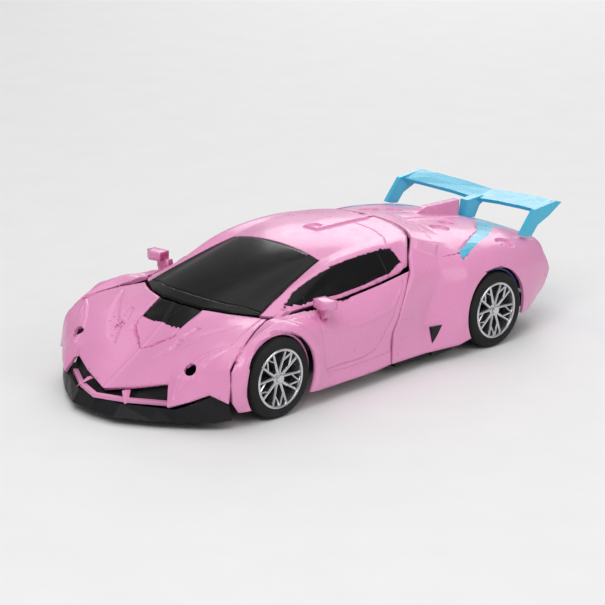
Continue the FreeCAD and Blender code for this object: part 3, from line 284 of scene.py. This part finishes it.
class Groove:
    """An engraved line; a negative depth makes a raised rib."""

    def __init__(self, line, depth=0.5, width=0.55, colour=None):
        self.line, self.depth, self.width, self.colour = list(line), depth, width, colour

    def closeness(self, p):
        return to_segments(p, self.line)

    def push(self, p):
        return -self.depth * (1 - step(to_segments(p, self.line) / self.width))

    def paint(self, p):
        return to_segments(p, self.line) < self.width * 0.6


class Pocket:
    """A sunk area with sloping walls; a negative depth makes a raised pad."""

    def __init__(self, outline, depth=1.0, slope=0.6, colour=None):
        self.line, self.depth, self.slope, self.colour = list(outline), depth, slope, colour

    def signed(self, p):
        edge = to_segments(p, self.line + self.line[:1])
        return np.where(inside(p, self.line), edge, -edge)

    def closeness(self, p):
        return np.abs(self.signed(p))

    def push(self, p):
        return -self.depth * step(self.signed(p) / self.slope + 0.5)

    def paint(self, p):
        return self.signed(p) > 0


def disc(x, y, radius, count=24, squash=1.0):
    turn = [2 * math.pi * i / count for i in range(count)]
    return [(x + radius * math.cos(a), y + radius * squash * math.sin(a)) for a in turn]


def flat_xy(points):
    return np.column_stack([np.abs(points[:, 0]), points[:, 1]])


def flat_yz(points):
    return points[:, 1:3]


SKIN = 1.6
# a face lies on the shell's outer or inner side if this much of its normal points that way
FACING = 0.3
# points further than this from the surface, along it or off it, keep their CAD place
SURFACE_REACH = 3.2
SURFACE_DRIFT = 4.5


def refine(build, features, flat, coarse, fine):
    """Split long edges, more finely near the features."""
    for _ in range(9):
        build.edges.ensure_lookup_table()
        ends = np.array([[*e.verts[0].co, *e.verts[1].co] for e in build.edges]) / MM
        length = np.linalg.norm(ends[:, :3] - ends[:, 3:], axis=1)
        limit = np.full(len(length), float(coarse))
        middle = flat((ends[:, :3] + ends[:, 3:]) / 2)
        for feature in features:
            near = feature.closeness(middle) - length / 2
            limit = np.minimum(limit, np.clip(fine + (near - 0.5) * 0.5, fine, coarse))
        chosen = [build.edges[i] for i in np.nonzero(length > limit)[0]]
        if not chosen:
            break
        bmesh.ops.subdivide_edges(build, edges=chosen, cuts=1)
        loose = [f for f in build.faces if len(f.verts) > 3]
        bmesh.ops.triangulate(build, faces=loose)


def skin_piece(name, node, surface, features=(), flat=flat_xy, slot="body_pink",
               under="inner_pink", coarse=2.6, fine=0.55, sink=0.0):
    """A moulded shell: the CAD node's outline, on the smooth surface, with its details."""
    source = frame["nodes"][node]
    build = bmesh.new()
    build.from_mesh(source.data)
    bmesh.ops.remove_doubles(build, verts=build.verts, dist=2e-6)
    build.normal_update()
    refine(build, features, flat, coarse, fine)
    build.normal_update()
    build.verts.ensure_lookup_table()
    start = np.array([v.co for v in build.verts]) / MM
    spots = [surface.near(point) for point in start]
    base = np.array([s[0] for s in spots])
    normal = np.array([s[1] for s in spots])
    height = ((start - base) * normal).sum(axis=1)
    far = np.linalg.norm(start - base, axis=1)
    outer = np.zeros(len(start), bool)
    inner = np.zeros(len(start), bool)
    for v in build.verts:
        for f in v.link_faces:
            facing = float(np.dot(f.normal, normal[v.index]))
            outer[v.index] |= facing > FACING
            inner[v.index] |= facing < -FACING
    depth = np.clip(-height, 0, SKIN)
    depth[inner] = SKIN
    depth[outer & ~inner] = 0
    hold = 1 - step(np.abs(height + depth) - SURFACE_REACH + 1)
    hold *= 1 - step(far - SURFACE_DRIFT)
    spot = start - normal * ((height + depth) * hold)[:, None]
    plan = flat(start)
    push = sum((feature.push(plan) for feature in features), np.zeros(len(start)))
    on_top = (outer & (hold > 0.5)).astype(float)
    spot += normal * (push * on_top - sink)[:, None]
    for v, where in zip(build.verts, spot):
        v.co = Vector(where) * MM
    build.normal_update()
    materials = [slot, under, "seam", "trim_black"]
    middles = np.array([f.calc_center_median() for f in build.faces]) / MM
    plan = flat(middles)
    faces_on_top = np.array([all(outer[v.index] for v in f.verts) for f in build.faces])
    faces_below = np.array([all(inner[v.index] for v in f.verts) for f in build.faces])
    # inner faces take the under material; on the pink shells that is inner_pink, painted shade of the
    # hollow
    index = np.where(faces_below, 1, 0)
    for feature in features:
        if feature.colour:
            index[faces_on_top & feature.paint(plan)] = materials.index(feature.colour)
    for f, i in zip(build.faces, index):
        f.material_index = int(i)
        f.smooth = True
    mesh = bpy.data.meshes.new(name)
    build.to_mesh(mesh)
    build.free()
    mesh.set_sharp_from_angle(angle=math.radians(32))
    piece = make_object(name, mesh, materials, source["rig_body"])
    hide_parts(node)
    return piece


# ---------------------------------------------------------------- styling surfaces

HOOD = Surface([
    [(0, -81, 41.7), (14, -80.2, 41.6), (26, -75.5, 41.3), (33, -71.5, 41), (37, -68.5, 40.6),
     (39.5, -66.8, 40.3), (41, -65.5, 40)],
    [(0, -90, 36), (14, -90, 36.8), (25, -88, 38), (32, -86, 38.8), (38, -83, 39.3),
     (43, -81, 39.3), (47, -79, 38.8)],
    [(0, -101, 28.2), (15, -102, 29.8), (27, -101, 32), (34, -99, 33.8), (41, -96.5, 35.2),
     (48, -93.5, 36), (53, -91.5, 35.5)],
    [(0, -111, 22), (15, -112, 24), (29, -109, 27), (34, -108, 27.5), (42, -106, 28.5),
     (50, -104, 29), (55.5, -102, 28.5)],
    [(0, -120, 16.8), (15, -119, 19), (30, -114, 22), (34, -114.5, 22.5), (43, -110.5, 22),
     (51, -107, 21.5), (57, -103, 21)],
    [(0, -127, 12.5), (16, -122.5, 16), (31, -116, 19.5), (35, -120.5, 10.5), (43, -115, 13.5),
     (50, -109, 17), (57.3, -104.5, 13.5)],
], column_breaks=(2, 3, 5), row_breaks=(4,))
ROOF = Surface([
    [(0, -80, 42.2), (13, -79.2, 42.2), (25, -74.5, 41.9), (32, -70.3, 41.6), (37.5, -66.5, 41.3),
     (41, -64, 41), (44, -60, 41.3)],
    [(0, -52, 51.8), (12, -51.5, 51.3), (23, -50.5, 49.8), (31.5, -49, 47.6), (37, -48, 47.2),
     (42, -47, 45.2), (45.3, -46, 42.3)],
    [(0, -20, 59), (12, -20, 58.5), (22, -19.5, 57.3), (29, -19, 55.8), (37.5, -21, 55.6),
     (43.5, -22, 49.5), (47, -22, 42.4)],
    [(0, 2, 60.8), (12, 2, 60.4), (22, 2, 59.6), (30, 2, 58.8), (39, 2, 57.6), (44, 1, 51.5),
     (47.3, 0, 44.3)],
    [(0, 22, 61), (12, 22, 60.6), (21, 22, 60), (29, 21.5, 59.2), (38.5, 20, 57.6),
     (43.6, 17.5, 52.6), (47.3, 14.8, 46.2)],
    [(0, 42, 60.2), (12, 42, 59.8), (20, 41, 59.3), (27, 38.5, 58.6), (33.5, 34.5, 57.7),
     (41.5, 26, 55.2), (46.9, 20.4, 49.4)],
])
REAR = Surface([
    [(0, 43.8, 59.9), (12, 43.8, 59.5), (20.5, 42.8, 58.9), (28, 40.3, 58.1), (34.8, 36, 57.1),
     (44.5, 24.5, 52.5), (50.8, 19.3, 47.2), (54.6, 12, 39), (56.6, 6.5, 31), (57.2, 1, 22),
     (57.6, -0.2, 7.5)],
    [(0, 52, 59.2), (12, 52, 58.2), (21, 51, 57), (30, 49, 55.6), (38, 45, 53.8),
     (46, 41, 49.2), (51.5, 38, 44), (52.6, 34, 37), (52.8, 31, 30), (53.4, 27, 21),
     (56.6, 23, 7)],
    [(0, 60, 57.8), (12, 60, 55.6), (22, 60, 54.6), (32, 59, 53), (40, 57, 51),
     (47, 55, 48.6), (53.5, 53, 45.6), (57.5, 51, 40), (59.2, 50, 32), (59.8, 47, 22),
     (59.6, 44, 7)],
    [(0, 82, 53.6), (12, 82, 52.3), (23, 82, 51.8), (33, 81, 51), (41, 79, 50),
     (48, 77, 48.6), (54.5, 75, 45.6), (58.4, 74, 40), (60, 73, 32), (60.5, 73, 22),
     (60.3, 73, 12.5)],
    [(0, 101, 49.6), (11, 101, 49.4), (22, 101, 49), (31, 100.5, 48.6), (39, 100, 47.6),
     (46, 99.5, 45.8), (51.5, 99, 43), (55.5, 98.5, 37.5), (57.5, 98, 30), (57.8, 97, 21),
     (57, 96, 12.5)],
    [(0, 118, 44.6), (11, 118, 44.6), (21, 117.6, 44.3), (29, 117.2, 44), (36, 116.8, 43.6),
     (42, 116.5, 43), (46.5, 116, 41.5), (49.5, 117, 36), (51.5, 119, 28), (51, 116, 20),
     (49.5, 110, 12.5)],
], column_breaks=(4,), row_breaks=(1, 2))
DOOR_ROWS = [
    [(54.2, -92.2, 35.2), (55.4, -98, 31), (56.6, -101.6, 27), (57.7, -102.6, 20),
     (57.6, -102, 13), (57.3, -98.5, 8)],
    [(51.7, -86.2, 37.1), (54.6, -90, 36), (58, -94, 31), (59.4, -97, 23), (59, -97, 15),
     (58.6, -96, 8)],
    [(48.3, -79.2, 38.9), (53, -79, 40), (58, -79, 39), (60.4, -79, 32), (60.5, -79, 20),
     (60.5, -79, 9)],
    [(45.4, -70.5, 40.5), (52, -69, 41), (58, -68, 39), (60.4, -67, 32), (60.5, -67, 20),
     (60.5, -67, 9)],
    [(45.4, -60.4, 41), (51.4, -57, 41), (57.4, -54, 37), (59.8, -52, 30), (60.2, -50, 20),
     (60, -50, 7.5)],
    [(49, -42, 41.8), (52.8, -41, 39.6), (56.4, -40, 35), (58, -40, 28), (58.6, -40, 18),
     (59, -40, 7)],
    [(50, -22, 42.6), (53.4, -21, 39.4), (56.6, -20, 34), (57.4, -20, 27), (57.4, -20, 18),
     (58.6, -20, 7)],
    [(50.2, 0, 44.6), (53.8, -2, 40.4), (56.8, -5, 34), (57, -8, 27), (56.9, -10, 18),
     (58.2, -11, 7)],
    [(50.2, 18.2, 47), (54.4, 11.2, 39), (56.4, 5.7, 31), (56.8, 0.2, 22), (56.8, -0.9, 16),
     (57.4, -1, 7.5)],
]
DOORS = {
    "left": Surface(DOOR_ROWS, column_breaks=(1,), both_sides=False),
    "right": Surface([[(-x, y, z) for x, y, z in row] for row in DOOR_ROWS], column_breaks=(1,),
                     both_sides=False),
}

# ---------------------------------------------------------------- body panels

HOOD_RECESS = [(13.5, -108.5), (20, -107), (29, -98), (36, -87), (39.5, -80), (33, -87),
               (25, -95.5), (18, -101)]
HOOD_SLOTS = [[(17.5, -103.5), (21.5, -102.5), (21.3, -97.5), (18, -98.2)],
              [(18.2, -95.8), (22.5, -95.4), (24.3, -89.5), (21, -89.8)]]
LAMP_POD = [(35.6, -119.3), (34.6, -113), (36.2, -107.5), (39.5, -102.5), (45, -97), (51.5, -92.6),
            (47.6, -98.4), (44, -104.5), (42.6, -110.5), (39.2, -116.6)]
LAMP_LINE = [(36.6, -117.5), (36.2, -113), (37.6, -108.5), (40.6, -103.6), (46, -98), (43, -104.2),
             (41.2, -110.5), (38.6, -115.4), (36.6, -117.5)]
hood_marks = [
    Pocket(HOOD_RECESS, 0.5, 1.6),
    Pocket(HOOD_SLOTS[0], 0.7, 0.5),
    Pocket(HOOD_SLOTS[1], 0.7, 0.5),
    Pocket(LAMP_POD, -0.7, 1.0),
    Groove(LAMP_LINE, 0.35, 0.45),
    Groove([(0, -127), (0, -105.5)], -0.25, 1.4),
    Groove([(39, -66), (44, -79), (47, -90), (48, -95)], 0.4, 0.5),
]
skin_piece("CoverPanel", "front_cover", HOOD, hood_marks)
skin_piece("FlapPanel", "hood_flap", HOOD, [Groove([(0, -104), (0, -90)], -0.3, 1.5)])
skin_piece("CowlPanel", "cowl_insert", HOOD, [Groove([(0, -93), (5, -78)], -0.4, 0.9),
                                              Groove([(0, -93), (-5, -78)], -0.4, 0.9)],
           slot="window_black", under="window_black", sink=0.35)
WINDSHIELD = [(0, -20), (28.5, -20), (37, -64), (41, -90)]
roof_marks = [
    Groove(WINDSHIELD, 0.3, 0.8, "seam"),
    Pocket([(-5.8, 37.5), (-5.6, 12), (-4.5, 3), (4.5, 3), (5.6, 12), (5.8, 37.5)], -1.0, 0.9),
    Pocket([(-4, 4.4), (4, 4.4), (2.2, 9), (-2.2, 9)], 0.9, 0.6),
    Groove([(6, 26), (20, 25), (31, 21), (38, 15)], 0.4, 0.5),
]
skin_piece("RoofPanel", "roof_shell", ROOF, roof_marks)
skin_piece("WindshieldPanel", "windshield", ROOF, [
    Groove([(40, -64), (30, -66.5), (21, -70.5), (12, -72.5), (0, -73)], 0.45, 0.6)],
           slot="window_black", under="window_black")
window_marks = [Groove([(-46, 40), (-40, 52)], -0.25, 0.35, "trim_black"),
                Groove([(8, 46), (6.5, 58)], -0.25, 0.35, "trim_black")]
skin_piece("SideGlass", "side_windows", ROOF, window_marks, flat=flat_yz,
           slot="window_black", under="window_black", sink=0.4)

rear_marks = [
    Pocket(disc(24, 68, 4.6, squash=1.1), 1.2, 0.7),
    Pocket(disc(17.5, 80, 3.6, squash=1.1), 1.2, 0.7),
    Pocket(disc(48.5, 88, 3.6, squash=1.5), 1.2, 0.9),
    Groove([(3, 56), (12, 55), (21, 54), (30, 52), (36, 48.5)], 0.4, 0.5),
    Pocket([(36, 37), (42, 31), (46.5, 40), (41, 47.5)], -0.9, 1.6),
    Groove([(8, 60), (8, 100)], -0.35, 1.0),
]
skin_piece("DeckPanel", "rear_deck", REAR, rear_marks)
for side in ("left", "right"):
    skin_piece(f"QuarterPanel_{side}", f"rear_quarter_{side}", REAR, rear_marks)

FRONT_HUB = (-74.5, 18.5)
ARCH = [(FRONT_HUB[0] + 23.5 * math.cos(a), FRONT_HUB[1] + 23.5 * math.sin(a))
        for a in (math.radians(d) for d in range(-20, 202, 6))]
door_marks = [
    Groove(ARCH, -0.7, 3.2),
    Groove([(-46, 38.6), (-47.5, 26), (-46, 16), (-20, 15.2), (-11, 17), (-6, 22), (4, 34),
            (13, 44)], 0.5, 0.5),
    Groove([(-46, 14.2), (-30, 13), (0, 13.5)], 0.35, 0.5),
    Groove([(-52, 40), (-40, 33), (-20, 31.5), (0, 34), (12, 42)], -0.35, 1.6),
]
for side, surface in DOORS.items():
    skin_piece(f"DoorPanel_{side}", f"door_panel_{side}", surface, door_marks, flat=flat_yz)

# ---------------------------------------------------------------- wheels


def revolved(name, outline, centre, turns=72):
    """A ring about X from (x, radius) points; the outline is closed."""
    points, faces = [], []
    count = len(outline)
    for k in range(turns):
        a = 2 * math.pi * k / turns
        points += [(centre[0] + x, centre[1] + r * math.cos(a), centre[2] + r * math.sin(a))
                   for x, r in outline]
    for k in range(turns):
        for i in range(count):
            j, n = (i + 1) % count, (k + 1) % turns
            faces.append((k * count + i, k * count + j, n * count + j, n * count + i))
    return mesh_of(name, points, faces)


TYRE_RADIUS = 18.5
TYRE_WIDTH = 16
TYRE_OUTSIDE = 60
REAR_HUB_Y = 70.5


def wheel(tag, body, side, y):
    """A treaded tyre, and a rim with five pairs of forked spokes."""
    centre = (0, y, TYRE_RADIUS)
    radius = TYRE_RADIUS

    def at(x, r):
        """A point of the wheel's section: x from its inner side, r from its axis."""
        return side * (TYRE_OUTSIDE - TYRE_WIDTH + x), r

    tyre = [(0.6, 14), (0.3, 15.5), (0.5, 17), (1.6, 18.1)]
    for k in range(4):
        start = 2.4 + k * 2.9
        tyre += [(start, radius), (start + 2.1, radius), (start + 2.3, radius - 0.6),
                 (start + 2.7, radius - 0.6)]
    tyre += [(14.2, radius - 0.1), (15.2, 17.6), (15.7, 16.6), (15.9, 16.2), (15.6, 15.7),
             (15.8, 15), (15.3, 14.2), (15, 13.9), (8, 13.6)]
    mesh = revolved(f"Tyre_{tag}", [at(*p) for p in tyre], centre, 96)
    piece = make_object(f"Tyre_{tag}", mesh, ["tyre"], body)
    crisp(piece, 0.12, 30, 1)
    rim = [(0.5, 12.8), (0.5, 13.9), (15.4, 13.9), (15.7, 13.4), (15.5, 12.7), (13.8, 12.2),
           (10, 12), (9.6, 11.8), (9.6, 3.2), (14, 3.2), (14.6, 2.6), (14.6, 1.7), (2, 1.7),
           (2, 3.2), (8.2, 3.2), (8.2, 12.4)]
    mesh = revolved(f"Rim_{tag}", [at(*p) for p in rim], centre, 96)
    ring = make_object(f"Rim_{tag}", mesh, ["rim_silver"], body)
    crisp(ring, 0.15, 30, 2)
    points, faces = [], []

    def bar(r0, r1, a0, a1, w0, w1, front, back):
        """A tapered bar from (r0, a0) to (r1, a1), whose half width goes from w0 to w1."""
        start = np.array([r0 * math.cos(a0), r0 * math.sin(a0)])
        end = np.array([r1 * math.cos(a1), r1 * math.sin(a1)])
        way = (end - start) / np.linalg.norm(end - start)
        cross = np.array([-way[1], way[0]])
        ring_points = []
        for spot, w, f in ((start, w0, front[0]), (end, w1, front[1])):
            for sign, level in ((-1, back), (-1, f - 0.5), (-0.35, f), (0.35, f), (1, f - 0.5),
                                (1, back)):
                p = spot + cross * sign * w
                ring_points.append((*at(level, 0)[:1], centre[1] + p[0], centre[2] + p[1]))
        base = len(points)
        points.extend(ring_points)
        for i in range(6):
            j = (i + 1) % 6
            faces.append((base + i, base + j, base + 6 + j, base + 6 + i))
        faces.append(tuple(base + i for i in range(6)))
        faces.append(tuple(base + 6 + i for i in range(6)))

    for k in range(5):
        a = 2 * math.pi * k / 5 + math.pi / 2
        for s in (-1, 1):
            root = a + s * 0.16
            bar(2.4, 12.6, root, a + s * 0.30, 0.85, 0.55, (14.3, 15), 11)
            bar(7.2, 12.7, a + s * 0.215, a + s * 0.62, 0.5, 0.45, (14.3, 15), 12)
    mesh = mesh_of(f"Spokes_{tag}", points, faces)
    spokes = make_object(f"Spokes_{tag}", mesh, ["rim_silver"], body)
    crisp(spokes, 0.1, 30, 1)
    cap = revolved(f"HubNut_{tag}", [at(*p) for p in
                                     [(13, 0.02), (13, 2.2), (15.2, 2.2), (15.7, 1.7), (15.7, 0.02)]],
                   centre, 12)
    nut = make_object(f"HubNut_{tag}", cap, ["rim_silver"], body)
    crisp(nut, 0.15, 30, 2)
    back = revolved(f"WheelBack_{tag}", [at(*p) for p in [(9.7, 1.8), (9.7, 12), (10, 12), (10, 1.8)]],
                    centre, 48)
    make_object(f"WheelBack_{tag}", back, ["trim_black"], body)
    return piece, ring


for side_name, side in (("left", 1), ("right", -1)):
    tyre, rim = wheel(f"front_{side_name}", f"front_wheel_{side_name}", side, FRONT_HUB[0])
    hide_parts(f"front_tyre_{side_name}")
    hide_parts(f"front_rim_{side_name}")
    tyre, rim = wheel(f"rear_{side_name}", "rear_axle", side, REAR_HUB_Y)
    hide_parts("rear_tyres")
    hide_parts("rear_rims")

# ---------------------------------------------------------------- the other CAD nodes

slot_of = {entry["node"]: entry["material_slot"] for entry in frame["record"]["subparts"]}
FACETED = {"rear_wing": 0.4, "front_splitter": 0.3, "grille_frame": 0.3, "tail_panel": 0.3}
for name, node in frame["nodes"].items():
    if node.hide_render:
        continue
    node.data.materials.clear()
    node.data.materials.append(MATERIALS[slot_of[name]])
    crisp(node, FACETED.get(name, 0.25))

# ---------------------------------------------------------------- stage, light, camera


def staging():
    floor = bpy.data.meshes.new("Floor")
    reach = 6
    floor.from_pydata([(-reach, -reach, 0), (reach, -reach, 0), (reach, reach, 0),
                       (-reach, reach, 0)], [], [(0, 1, 2, 3)])
    ground = bpy.data.objects.new("Floor", floor)
    bpy.context.scene.collection.objects.link(ground)
    floor.materials.append(finish_of("FloorPaper", (0.86, 0.86, 0.86), (0.84, 0.84, 0.84),
                                     (0.7, 0.8), grain=(200, 0.01)))


def add_light(name, place, size, power, target=(0, 0, 0.02), colour=(1, 1, 1)):
    data = bpy.data.lights.new(name, "AREA")
    data.shape = "RECTANGLE"
    data.size, data.size_y = size
    data.energy = power
    data.color = colour
    lamp = bpy.data.objects.new(name, data)
    lamp.location = place
    lamp.rotation_euler = (Vector(target) - Vector(place)).to_track_quat("-Z", "Y").to_euler()
    bpy.context.scene.collection.objects.link(lamp)


def add_camera():
    azimuth, elevation = math.radians(45.17), math.radians(17.14)
    aim = Vector((0.002, -0.004, 0.026))
    back = Vector((math.sin(azimuth) * math.cos(elevation),
                   -math.cos(azimuth) * math.cos(elevation), math.sin(elevation)))
    data = bpy.data.cameras.new("Camera")
    data.lens = 150
    data.sensor_width = 36
    data.clip_start, data.clip_end = 0.05, 50
    camera = bpy.data.objects.new("Camera", data)
    camera.location = aim + back * 1.2
    camera.rotation_euler = (-back).to_track_quat("-Z", "Y").to_euler()
    bpy.context.scene.collection.objects.link(camera)
    bpy.context.scene.camera = camera


staging()
world = bpy.data.worlds.new("Studio")
world.use_nodes = True
world.node_tree.nodes["Background"].inputs["Color"].default_value = (1, 1, 1, 1)
world.node_tree.nodes["Background"].inputs["Strength"].default_value = 0.36
bpy.context.scene.world = world
add_light("Key", (0.5, -0.9, 1.3), (0.9, 0.9), 11)
add_light("Fill", (1.3, 0.3, 0.8), (0.8, 0.8), 3.5)
add_light("Top", (-0.3, 0.2, 1.5), (1.4, 1.4), 6)
add_light("Back", (-0.8, 1.1, 0.7), (0.8, 0.6), 4)
add_camera()
bpy.context.scene.view_settings.view_transform = "Standard"
